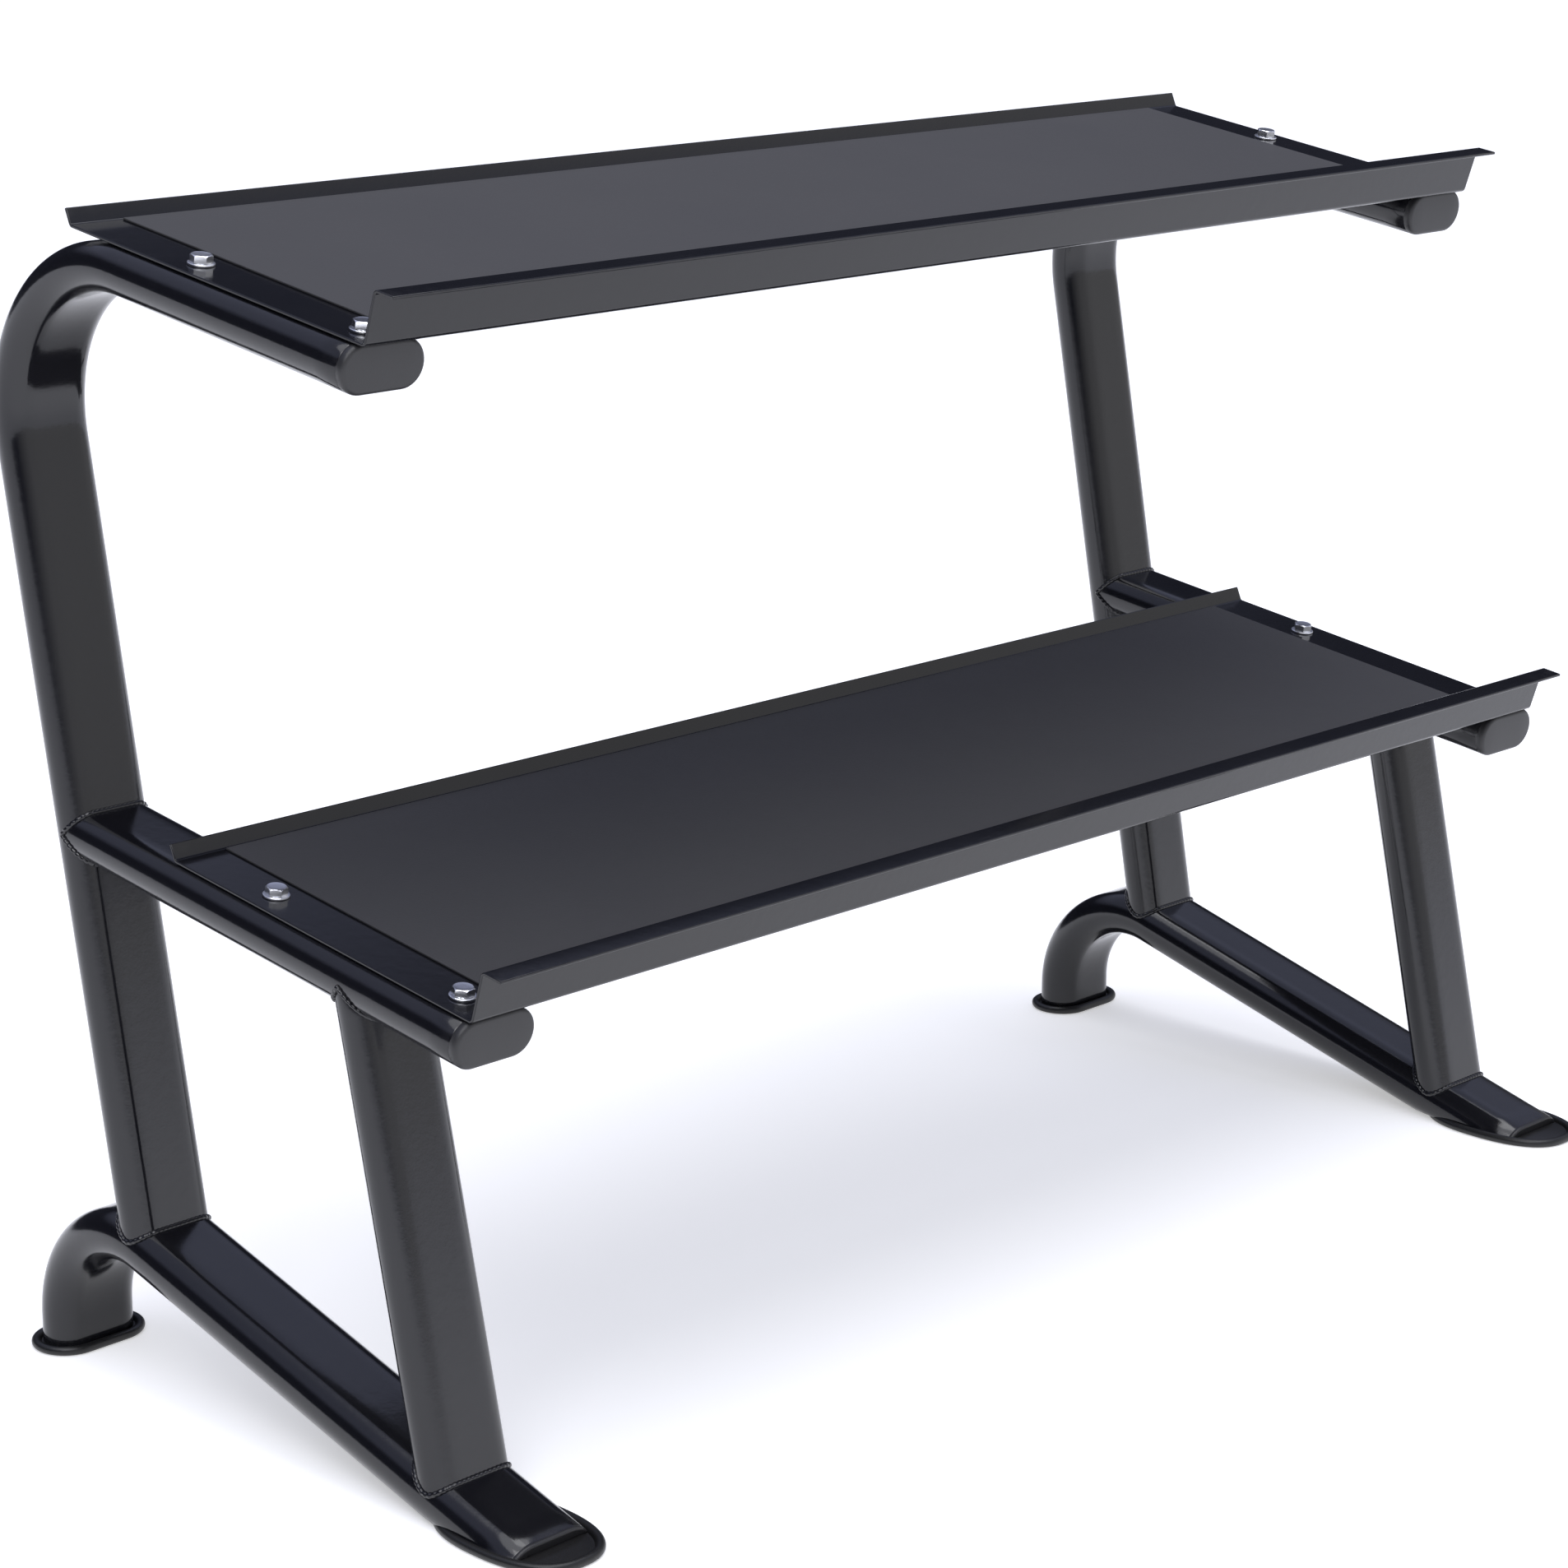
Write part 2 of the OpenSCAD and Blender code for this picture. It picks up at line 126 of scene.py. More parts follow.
class RackSizes(bpy.types.PropertyGroup):
    """Sizes of the rack's pieces."""
    tube_w: length("Tube width", 0.080, "Width of the frame tube along the rack")
    tube_t: length("Tube thickness", 0.040, "Thickness of the frame tube across the bends")
    foot_w: length("Foot tube width", 0.084, "Width of the foot tube along the rack")
    foot_t: length("Foot tube thickness", 0.044, "Thickness of the foot tube across its bend")
    upright_bend: length("Upright bend", 0.130, "Bend radius of the upright on its centre line")
    foot_bend: length("Foot bend", 0.096, "Bend radius of the foot tube on its centre line")
    upright_lean: angle("Upright lean", 10.5, "Backward lean of the upright")
    upper_tilt: angle("Upper tilt", 8.9, "Forward fall of the upper arm")
    lower_tilt: angle("Lower tilt", 8.2, "Forward fall of the lower arm")
    foot_fall: angle("Foot fall", 15.4, "Forward fall of the foot tube")
    upright_in: length("Upright inset", 0.173, "Back of the rack to the upright's line at the floor")
    upper_reach: length("Upper reach", 0.282, "Upright's line at the floor to the upper arm's end")
    lower_reach: length("Lower reach", 0.391, "Upright's line at the floor to the lower arm's end")
    upper_arm_h: length("Upper arm height", 0.889, "Centre of the upper arm's end above the floor")
    lower_arm_h: length("Lower arm height", 0.398, "Centre of the lower arm's end above the floor")
    leg_foot_in: length("Leg foot inset", 0.138, "Front of the rack to the foot of the leg")
    leg_top_in: length("Leg top inset", 0.127, "End of the lower arm to the top of the leg")
    nose_in: length("Nose inset", 0.046, "Front of the rack to the end of the foot tube")
    nose_h: length("Nose height", 0.015, "Foot tube's top face at its front end above the floor")
    nose_cap_t: length("Nose cap", 0.004, "Thickness of the cap on the foot tube's front end")
    cap_len: length("Cap length", 0.008, "Length that an arm cap shows in front of the tube")
    cap_edge: length("Cap edge", 0.004, "Radius of an arm cap's front edge")
    seam: length("Seam", 0.0005, "Depth of the seam between a tube and its cap")
    pad_t: length("Pad thickness", 0.004, "Foot pad's floor under the tube")
    bead_d: length("Pad bead", 0.008, "Diameter of the bead round a foot pad")
    rear_over: length("Rear pad overhang", 0.010, "Rear pad's overhang round the tube")
    front_pad_w: length("Front pad width", 0.098, "Width of the front pad")
    front_pad_len: length("Front pad length", 0.154, "Length of the front pad")
    weld_r: length("Weld", 0.0025, "Radius of the weld bead")
    sheet_t: length("Sheet", 0.0025, "Sheet thickness of the trays")
    fold_r: length("Fold", 0.0025, "Inside radius of the folds")
    tray_depth: length("Tray depth", 0.361, "Depth of the tray floor, fold to fold")
    flange_h: length("Front flange", 0.043, "Height of the front flange")
    flange_flare: length("Front flare", 0.007, "Forward flare of the front flange")
    lip: length("Lip", 0.020, "Width of the lip on the front flange")
    rear_h: length("Rear flange", 0.013, "Height of the rear flange")
    rear_flare: length("Rear flare", 0.008, "Backward flare of the rear flange")
    tray_end_in: length("Tray end", 0.012, "Frame's outer face in to the end of a tray")
    upper_overhang: length("Upper overhang", 0.017, "Upper tray's overhang in front of its arm")
    lower_overhang: length("Lower overhang", 0.011, "Lower tray's overhang in front of its arm")
    liner_t: length("Liner", 0.002, "Thickness of the liner")
    liner_in: length("Liner inset", 0.024, "Bolt line to the edge of the liner")
    bolt_d: length("Bolt", 0.010, "Thread diameter of the tray bolts")
    bolt_out: length("Bolt line", 0.004, "Bolt line outward from the tube's centre line")


class RackFinish(bpy.types.PropertyGroup):
    """Colours of the rack's pieces."""
    paint: colour("Frame paint", (0.0056, 0.0057, 0.0078), "Powder coat on the frame")
    tray_paint: colour("Tray paint", (0.0056, 0.0057, 0.0078), "Powder coat on the trays")
    cap: colour("Caps", (0.020, 0.020, 0.0215), "Moulded end caps")
    pad: colour("Pads", (0.0065, 0.0065, 0.0068), "Rubber foot pads")
    liner: colour("Liner", (0.042, 0.0415, 0.044), "Rubber sheet on the tray floors")
    zinc: colour("Bolts", (0.88, 0.89, 0.92), "Bright zinc on bolts and washers")
    steel: colour("Nuts", (0.38, 0.38, 0.40), "Plain steel inside the tubes")
    floor: colour("Floor", (0.86, 0.86, 0.87), "Studio floor")


# Side view: points are (y, z) and headings are angles from +Y

def ahead(heading):
    """Unit vector along a heading."""
    return np.array([np.cos(heading), np.sin(heading)])


def left_of(heading):
    """Unit vector a quarter turn to the left of a heading."""
    return np.array([-np.sin(heading), np.cos(heading)])


def cross(a, b):
    """Signed area of the parallelogram on two plane vectors."""
    return a[0] * b[1] - a[1] * b[0]


def meet(p, a, q, b):
    """Where the line through p with heading a crosses the line through q with heading b."""
    return p + ahead(a) * cross(q - p, ahead(b)) / cross(ahead(a), ahead(b))


def span(p, q):
    """Distance between two points."""
    return float(np.linalg.norm(q - p))


def side_view(s):
    """Every point, heading and run of the side frame, worked out from the sizes and the frame's box."""
    v = SimpleNamespace()
    quarter = np.pi / 2
    back, front = CAD_HIGH[1], CAD_LOW[1]
    foot = np.array([back - s.upright_in, 0.0])
    v.upright_a = quarter - s.upright_lean
    v.rear_y = back - s.rear_over - s.foot_t / 2
    v.nose = np.array([front + s.nose_in, s.nose_h - s.foot_t / 2 / np.cos(s.foot_fall)])
    v.upper_end = np.array([foot[0] - s.upper_reach, s.upper_arm_h])
    v.lower_end = np.array([foot[0] - s.lower_reach, s.lower_arm_h])
    v.foot_corner = meet(v.nose, s.foot_fall, np.array([v.rear_y, 0.0]), quarter)
    v.upright_base = meet(v.nose, s.foot_fall, foot, v.upright_a)
    v.upper_corner = meet(v.upper_end, s.upper_tilt, foot, v.upright_a)
    v.lower_root = meet(v.lower_end, s.lower_tilt, foot, v.upright_a)
    v.leg_base = meet(v.nose, s.foot_fall, np.array([front + s.leg_foot_in, 0.0]), quarter)
    v.leg_top = meet(v.lower_end, s.lower_tilt, v.lower_end + [s.leg_top_in, 0.0], quarter)
    leg = v.leg_top - v.leg_base
    v.leg_a = float(np.arctan2(leg[1], leg[0]))
    turn = np.pi + s.upper_tilt - v.upright_a
    trim = s.upright_bend * np.tan(turn / 2)
    v.upright_steps = [(span(v.upright_base, v.upper_corner) - trim, 0), (s.upright_bend, turn),
                       (span(v.upper_corner, v.upper_end) - trim, 0)]
    turn = quarter + s.foot_fall
    trim = s.foot_bend * np.tan(turn / 2)
    v.foot_steps = [(v.foot_corner[1] - trim - s.pad_t, 0), (s.foot_bend, turn),
                    (span(v.foot_corner, v.nose) - trim, 0)]
    return v


def run(start, heading, steps):
    """Centre points and headings along straight steps (length, 0) and left bends (radius, angle).

    A straight point is the start plus a distance times the heading. A point on a bend is the centre
    of the bend plus the radius, turned to the right of the heading there.
    """
    points, headings = [start[None]], [np.array([heading])]
    for size, turn in steps:
        if turn == 0:
            t = np.linspace(0, size, max(2, int(size / RING_SPACING)) + 1)[1:, None]
            points.append(start + t * ahead(heading))
            headings.append(np.full(len(t), heading))
        else:
            a = heading + np.linspace(0, turn, int(np.degrees(turn) / 2) + 1)[1:]
            centre = start + size * left_of(heading)
            points.append(centre - size * left_of(a).T)
            headings.append(a)
            heading = heading + turn
        start = points[-1][-1]
    return np.concatenate(points), np.concatenate(headings)


# Surfaces

def oval_rays(flat, around=20, along=6):
    """Rays of a flat oval: where each one starts on the middle line, and its direction's two parts.

    A point of the oval is the ray's start plus the side radius times its direction. The rays turn
    through a half circle round each end of the middle line and run straight up or down between.
    """
    turn = np.linspace(-np.pi / 2, np.pi / 2, around + 1)
    slide = np.linspace(flat / 2, -flat / 2, along + 1)[1:-1]
    start = np.concatenate([np.full(around + 1, flat / 2), slide,
                            np.full(around + 1, -flat / 2), -slide])
    theta = np.concatenate([turn, np.full(along - 1, np.pi / 2), turn + np.pi,
                            np.full(along - 1, -np.pi / 2)])
    return start, np.cos(theta), np.sin(theta)


def grid_of(x, y, z):
    """A grid of points from their three parts, each spread over the whole grid."""
    return np.stack(np.broadcast_arrays(x, y, z), axis=-1)


def tube_surface(x, width, thick, points, headings, inset):
    """A flat oval carried along a path in the side view, as a grid of rows by rays.

    Across the rack a point is x plus the ray's start plus radius times cosine. In the side view it
    is the centre point plus radius times sine to the left of the heading. The radius of a row is
    half the thickness less that row's inset.
    """
    start, c, s = oval_rays(width - thick)
    radius = (thick / 2 - inset)[:, None]
    side = left_of(headings).T
    return grid_of(x + start + radius * c, points[:, :1] + radius * s * side[:, :1],
                   points[:, 1:] + radius * s * side[:, 1:])


def grid_faces(rows, columns):
    """Quads of a grid that closes on itself across its columns."""
    i = np.arange(rows - 1)[:, None] * columns
    j = np.arange(columns)[None]
    k = (j + 1) % columns
    return np.stack([i + j, i + k, i + columns + k, i + columns + j], axis=-1).reshape(-1, 4)


def closed_grids(grids, fan_first=True, fan_last=True):
    """Points and faces of grids closed across their columns, open ends fanned to their middle.

    An end whose ring has shrunk onto a line or a point needs no fan: its doubled points merge.
    """
    count, rows, columns = grids.shape[:3]
    middles = grids[:, [0, -1]].mean(2)
    points = np.concatenate([grids.reshape(count, -1, 3), middles], axis=1).reshape(-1, 3)
    starts = (np.arange(count) * (rows * columns + 2))[:, None, None]
    j = np.arange(columns)
    k = (j + 1) % columns
    middle, row = np.full(columns, rows * columns), (rows - 1) * columns
    first = np.stack([middle, k, j], axis=-1)
    last = np.stack([middle + 1, j + row, k + row], axis=-1)
    faces = (grid_faces(rows, columns) + starts).reshape(-1, 4).tolist()
    for fan, wanted in ((first, fan_first), (last, fan_last)):
        faces += (fan + starts).reshape(-1, 3).tolist() if wanted else []
    return points, faces


def rings_grid(grids):
    """Points and faces of several grids closed across both their rows and their columns."""
    count, rows, columns = grids.shape[:3]
    looped = np.concatenate([grid_faces(rows, columns), wrap_faces(rows, columns)])
    faces = looped[None] + (np.arange(count) * rows * columns)[:, None, None]
    return grids.reshape(-1, 3), faces.reshape(-1, 4).tolist()


def wrap_faces(rows, columns):
    """Quads between the last row of a grid and its first."""
    j = np.arange(columns)
    k = (j + 1) % columns
    last = (rows - 1) * columns
    return np.stack([last + j, last + k, k, j], axis=-1)


def add_piece(name, points, faces, material, node, slot, sharp=35.0):
    """Makes a mesh piece that rides on the frame and stands for a CAD node.

    Doubled points are merged, faces are turned outwards, and edges sharper than the angle stay
    crisp under smooth shading.
    """
    mesh = bpy.data.meshes.new(name)
    mesh.from_pydata(np.asarray(points).tolist(), [], faces)
    bm = bmesh.new()
    bm.from_mesh(mesh)
    bmesh.ops.remove_doubles(bm, verts=bm.verts, dist=MERGE_WITHIN)
    bmesh.ops.delete(bm, geom=[vert for vert in bm.verts if not vert.link_faces], context="VERTS")
    bmesh.ops.recalc_face_normals(bm, faces=bm.faces)
    if bm.calc_volume(signed=True) < 0:
        bmesh.ops.reverse_faces(bm, faces=bm.faces)
    bm.to_mesh(mesh)
    bm.free()
    mesh.polygons.foreach_set("use_smooth", np.ones(len(mesh.polygons), dtype=bool))
    mesh.set_sharp_from_angle(angle=np.radians(sharp))
    mesh.materials.append(material)
    piece = bpy.data.objects.new(name, mesh)
    bpy.context.scene.collection.objects.link(piece)
    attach(piece, "root")
    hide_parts(node)
    return piece


def round_edges(piece, width, segments=2, limit=50.0):
    """Rounds a piece's sharp edges with a bevel."""
    bevel = piece.modifiers.new("Rounded edges", "BEVEL")
    bevel.width = width
    bevel.segments = segments
    bevel.limit_method = "ANGLE"
    bevel.angle_limit = np.radians(limit)


def frame_centre(side):
    """Where a side frame's centre plane lies along the rack; the rear pads reach out furthest."""
    s = bpy.context.scene.rack_sizes
    return side * (CAD_HIGH[0] - s.rear_over - s.foot_w / 2)


# Shader groups

def shader_group(name, inputs, outputs):
    """An empty shader node group with named sockets, and its input and output nodes."""
    tree = bpy.data.node_groups.new(name, "ShaderNodeTree")
    for label, kind, value in inputs:
        socket = tree.interface.new_socket(name=label, in_out="INPUT",
                                           socket_type="NodeSocket" + kind)
        if value is not None:
            socket.default_value = value
    for label, kind in outputs:
        tree.interface.new_socket(name=label, in_out="OUTPUT", socket_type="NodeSocket" + kind)
    return tree, tree.nodes.new("NodeGroupInput"), tree.nodes.new("NodeGroupOutput")


def wire(tree, source, socket):
    """Sets a socket to a value, or links it to another socket."""
    if isinstance(source, bpy.types.NodeSocket):
        tree.links.new(source, socket)
    else:
        socket.default_value = source


def maths(tree, operation, a, b=0.0):
    """A maths node's result."""
    node = tree.nodes.new("ShaderNodeMath")
    node.operation = operation
    wire(tree, a, node.inputs[0])
    wire(tree, b, node.inputs[1])
    return node.outputs[0]


def noise(tree, vector, scale, detail=3.0, roughness=0.55):
    """Value of a noise texture."""
    node = tree.nodes.new("ShaderNodeTexNoise")
    wire(tree, vector, node.inputs["Vector"])
    wire(tree, scale, node.inputs["Scale"])
    node.inputs["Detail"].default_value = detail
    node.inputs["Roughness"].default_value = roughness
    return node.outputs["Fac"]


def remap(tree, value, low, high, to_low=0.0, to_high=1.0):
    """A value moved from one range to another, and held inside it."""
    node = tree.nodes.new("ShaderNodeMapRange")
    for source, socket in zip((value, low, high, to_low, to_high), node.inputs):
        wire(tree, source, socket)
    return node.outputs[0]


def blend(tree, amount, a, b):
    """Mix of two colours."""
    node = tree.nodes.new("ShaderNodeMix")
    node.data_type = "RGBA"
    wire(tree, amount, node.inputs[0])
    wire(tree, a, node.inputs[6])
    wire(tree, b, node.inputs[7])
    return node.outputs[2]


def give_layer(tree, result, mask, base, over):
    """Ends a group: its mask, and the base colour with the layer's colour over it there."""
    wire(tree, mask, result.inputs["Mask"])
    wire(tree, blend(tree, mask, base, over), result.inputs["Colour"])
    return tree


def build_grain_group():
    """Fine surface grain: two sizes of noise for height, and broad cloudy patches for gloss."""
    tree, given, result = shader_group(
        "Surface grain",
        [("Vector", "Vector", None), ("Scale", "Float", 400.0), ("Coarse Share", "Float", 0.5),
         ("Patch Scale", "Float", 6.0)],
        [("Height", "Float"), ("Patches", "Float")])
    vector, scale, share, patch = given.outputs[:4]
    fine = noise(tree, vector, scale, 2.0)
    coarse = noise(tree, vector, maths(tree, "MULTIPLY", scale, 0.22), 2.0)
    height = maths(tree, "ADD", maths(tree, "MULTIPLY", coarse, share),
                   maths(tree, "MULTIPLY", fine, maths(tree, "SUBTRACT", 1.0, share)))
    wire(tree, height, result.inputs["Height"])
    wire(tree, noise(tree, vector, patch, 4.0), result.inputs["Patches"])
    return tree


def build_dust_group():
    """Dust that settles on faces turned up: a thin even film with specks and cloudy gaps."""
    tree, given, result = shader_group(
        "Settled dust",
        [("Vector", "Vector", None), ("Colour", "Color", (0.02, 0.02, 0.02, 1.0)),
         ("Dust Colour", "Color", (0.32, 0.30, 0.28, 1.0)), ("Amount", "Float", 0.05)],
        [("Colour", "Color"), ("Mask", "Float")])
    vector, base, dust, amount = given.outputs[:4]
    facing = tree.nodes.new("ShaderNodeNewGeometry")
    parts = tree.nodes.new("ShaderNodeSeparateXYZ")
    wire(tree, facing.outputs["Normal"], parts.inputs[0])
    upward = remap(tree, parts.outputs["Z"], 0.45, 1.0)
    clouds = remap(tree, noise(tree, vector, 9.0, 5.0), 0.35, 0.72)
    specks = remap(tree, noise(tree, vector, 900.0, 1.0), 0.66, 0.74)
    film = maths(tree, "ADD", maths(tree, "MULTIPLY", clouds, 0.6),
                 maths(tree, "MULTIPLY", specks, 0.8))
    mask = maths(tree, "MULTIPLY", maths(tree, "MULTIPLY", upward, film), amount)
    return give_layer(tree, result, mask, base, dust)


def build_scuff_group():
    """Scuffs from handling: stretched streaks that show only inside scattered patches."""
    tree, given, result = shader_group(
        "Handling scuffs",
        [("Vector", "Vector", None), ("Colour", "Color", (0.02, 0.02, 0.02, 1.0)),
         ("Scuff Colour", "Color", (0.10, 0.10, 0.10, 1.0)), ("Amount", "Float", 0.2),
         ("Streaks", "Float", 40.0)],
        [("Colour", "Color"), ("Mask", "Float")])
    vector, base, scuffed, amount, streaks = given.outputs[:5]
    stretch = tree.nodes.new("ShaderNodeMapping")
    stretch.inputs["Scale"].default_value = (1.0, 7.0, 5.0)
    stretch.inputs["Rotation"].default_value = (0.3, 0.2, 0.5)
    wire(tree, vector, stretch.inputs["Vector"])
    lines = remap(tree, noise(tree, stretch.outputs[0], streaks, 3.0, 0.7), 0.60, 0.72)
    places = remap(tree, noise(tree, vector, 4.0, 3.0), 0.52, 0.68)
    mask = maths(tree, "MULTIPLY", maths(tree, "MULTIPLY", lines, places), amount)
    return give_layer(tree, result, mask, base, scuffed)


def build_rub_and_highlight_group():
    """Lighter outward corners where a broken-up noise lets them: partly rubbed wear, partly a painted
    edge highlight.
    """
    tree, given, result = shader_group(
        "Rubbed edges and painted highlight",
        [("Vector", "Vector", None), ("Colour", "Color", (0.02, 0.02, 0.02, 1.0)),
         ("Rubbed Colour", "Color", (0.10, 0.10, 0.10, 1.0)), ("Amount", "Float", 0.3)],
        [("Colour", "Color"), ("Mask", "Float")])
    vector, base, rubbed_and_highlit, amount = given.outputs[:4]
    # Pointiness picks out outward corners; lightening them paints an edge highlight as well as wear.
    corner = tree.nodes.new("ShaderNodeNewGeometry").outputs["Pointiness"]
    edges = remap(tree, corner, 0.53, 0.62)
    breaks = remap(tree, noise(tree, vector, 70.0, 4.0, 0.65), 0.42, 0.62)
    mask = maths(tree, "MULTIPLY", maths(tree, "MULTIPLY", edges, breaks), amount)
    return give_layer(tree, result, mask, base, rubbed_and_highlit)


def place_group(tree, name, build, **values):
    """Places a group, built the first time, and sets its inputs; an underscore is a space."""
    node = tree.nodes.new("ShaderNodeGroup")
    node.node_tree = bpy.data.node_groups.get(name) or build()
    for key, value in values.items():
        wire(tree, value, node.inputs[key.replace("_", " ")])
    return node.outputs


def finish_material(name, base, *, roughness, patch_gloss, grain, coarse, bump, dust, scuff,
                    metallic=0.0, coat=0.0, shine=0.5, scuff_tone=0.12, rub_and_highlight=0.35, rub_highlight_tone=0.09,
                    dust_tone=(0.32, 0.30, 0.28, 1.0)):
    """A solid finish: base colour with scuffs, lighter edges (rubbed wear and painted highlight) and
    dust, cloudy gloss, fine grain.

    roughness and patch_gloss are the middle and the spread of the roughness, coarse is the share
    of the grain's larger size, and bump is the grain's height in metres.
    """
    material = bpy.data.materials.new(name)
    material.use_nodes = True
    tree = material.node_tree
    shader = tree.nodes["Principled BSDF"]
    place = tree.nodes.new("ShaderNodeTexCoord").outputs["Object"]
    grains = place_group(tree, "Surface grain", build_grain_group, Vector=place, Scale=grain,
                         Coarse_Share=coarse)
    scuffs = place_group(tree, "Handling scuffs", build_scuff_group, Vector=place,
                         Colour=(*base, 1.0), Amount=scuff,
                         Scuff_Colour=(scuff_tone, scuff_tone, scuff_tone, 1.0))
    # Lighter outward corners: partly rubbed wear, partly a painted edge highlight.
    rubbed_and_highlit = place_group(tree, "Rubbed edges and painted highlight", build_rub_and_highlight_group, Vector=place,
                         Colour=scuffs["Colour"], Rubbed_Colour=(rub_highlight_tone, rub_highlight_tone, rub_highlight_tone, 1.0),
                         Amount=rub_and_highlight)
    dusted = place_group(tree, "Settled dust", build_dust_group, Vector=place,
                         Colour=rubbed_and_highlit["Colour"], Dust_Colour=dust_tone, Amount=dust)
    gloss = remap(tree, grains["Patches"], 0.3, 0.7, roughness - patch_gloss, roughness + patch_gloss)
    rough = maths(tree, "ADD", gloss, maths(tree, "MULTIPLY", scuffs["Mask"], 0.35))
    rough = maths(tree, "ADD", rough, maths(tree, "MULTIPLY", rubbed_and_highlit["Mask"], 0.25))
    rough = maths(tree, "ADD", rough, maths(tree, "MULTIPLY", dusted["Mask"], 0.5))
    relief = tree.nodes.new("ShaderNodeBump")
    relief.inputs["Strength"].default_value = 1.0
    relief.inputs["Distance"].default_value = bump
    wire(tree, grains["Height"], relief.inputs["Height"])
    wire(tree, dusted["Colour"], shader.inputs["Base Color"])
    wire(tree, rough, shader.inputs["Roughness"])
    wire(tree, relief.outputs["Normal"], shader.inputs["Normal"])
    shader.inputs["Metallic"].default_value = metallic
    shader.inputs["Specular IOR Level"].default_value = shine
    shader.inputs["Coat Weight"].default_value = coat
    shader.inputs["Coat Roughness"].default_value = 0.08
    return material


FINISHES = {
    "Gloss black powder coat": dict(
        colour="paint", roughness=0.15, patch_gloss=0.03, grain=520.0, coarse=0.75, bump=0.00011,
        dust=0.015, scuff=0.05, coat=0.2, shine=0.47),
    "Tray powder coat": dict(
        colour="tray_paint", roughness=0.16, patch_gloss=0.03, grain=480.0, coarse=0.75,
        bump=0.00011, dust=0.012, scuff=0.07, coat=0.06, shine=0.41),
    "Moulded cap plastic": dict(
        colour="cap", roughness=0.44, patch_gloss=0.05, grain=900.0, coarse=0.35, bump=0.00012,
        dust=0.02, scuff=0.10),
    "Pad rubber": dict(
        colour="pad", roughness=0.40, patch_gloss=0.06, grain=620.0, coarse=0.45, bump=0.00018,
        dust=0.03, scuff=0.20, scuff_tone=0.05),
    "Liner rubber sheet": dict(
        colour="liner", roughness=0.62, patch_gloss=0.04, grain=760.0, coarse=0.35, bump=0.00025,
        dust=0.012, scuff=0.12, scuff_tone=0.07),
    "Bright zinc plate": dict(
        colour="zinc", roughness=0.27, patch_gloss=0.06, grain=300.0, coarse=0.5, bump=0.00004,
        dust=0.0, scuff=0.5, metallic=1.0, scuff_tone=0.45, rub_highlight_tone=0.95),
    "Plain steel": dict(
        colour="steel", roughness=0.42, patch_gloss=0.08, grain=300.0, coarse=0.5, bump=0.00006,
        dust=0.0, scuff=0.5, metallic=1.0, scuff_tone=0.2, rub_highlight_tone=0.6),
}


def finish(name):
    """One of the rack's finishes by name, made the first time it is asked for."""
    values = dict(FINISHES[name])
    base = getattr(bpy.context.scene.rack_finish, values.pop("colour"))
    return bpy.data.materials.get(name) or finish_material(name, base, **values)


# Pieces

class RACK_OT_side_tubes(bpy.types.Operator):
    """Build the uprights, lower arms, front legs and foot tubes of both side frames"""
    bl_idname = "rack.side_tubes"
    bl_label = "Side tubes"

    def execute(self, context):
        s = context.scene.rack_sizes
        v = side_view(s)
        foot = (s.foot_w, s.foot_t, np.array([v.rear_y, s.pad_t]), np.pi / 2, v.foot_steps)
        upright = (s.tube_w, s.tube_t, v.upright_base, v.upright_a, v.upright_steps)
        arm = (s.tube_w, s.tube_t, v.lower_root, s.lower_tilt + np.pi,
               [(span(v.lower_root, v.lower_end), 0)])
        leg = (s.tube_w, s.tube_t, v.leg_base, v.leg_a, [(span(v.leg_base, v.leg_top), 0)])
        tubes = {"upright": upright, "lower_arm": arm, "front_leg": leg, "foot": foot}
        for name, side in SIDES:
            for kind, (width, thick, start, heading, steps) in tubes.items():
                points, headings = run(start, heading, steps)
                inset = np.zeros(len(points))
                inset[-1] = s.seam
                points[-2] = points[-1] - SEAM_RUN * s.seam * ahead(headings[-1])
                grid = tube_surface(frame_centre(side), width, thick, points, headings, inset)
                if kind == "foot":
                    grid[..., 2] = np.maximum(grid[..., 2], s.pad_t)
                add_piece(f"{name}_{kind}", *closed_grids(grid[None]), finish("Gloss black powder coat"),
                          f"{name}_{kind}_tube", "frame_black")
        return {"FINISHED"}


def cap_profile(length_out, edge, seam, crown):
    """Section of a cap as (inset from the tube's outline, distance in front of the tube).

    It starts in the seam, runs out straight, turns through a quarter circle at the edge and
    crosses the front on a shallow crown that rises as the square of the way to the middle.
    """
    turn = np.linspace(0, np.pi / 2, 9)
    rim = np.stack([edge - edge * np.cos(turn), length_out - edge + edge * np.sin(turn)], axis=-1)
    start = np.array([[4 * seam, 0.0], [seam, 0.0], [0.0, 1.5 * seam]])
    share = np.linspace(0, 1, 9)[1:]
    return np.concatenate([start, rim]), share, crown


def cap_surface(x, width, thick, end, heading, profile):
    """A cap over a flat-oval tube end: rings of the outline, each inset and set forward.

    Past the rim the rings shrink evenly to the middle line, while the front rises by the crown
    times one minus the square of what is left of the way.
    """
    rim, share, crown = profile
    start, c, s = oval_rays(width - thick)
    inner = thick / 2 - rim[-1, 0]
    radius = np.concatenate([thick / 2 - rim[:, 0], inner * (1 - share)])[:, None]
    out = np.concatenate([rim[:, 1], rim[-1, 1] + crown * (1 - (1 - share) ** 2)])[:, None]
    side, forward = left_of(heading), -ahead(heading)
    return grid_of(x + start + radius * c, end[0] + radius * s * side[0] + out * forward[0],
                   end[1] + radius * s * side[1] + out * forward[1])


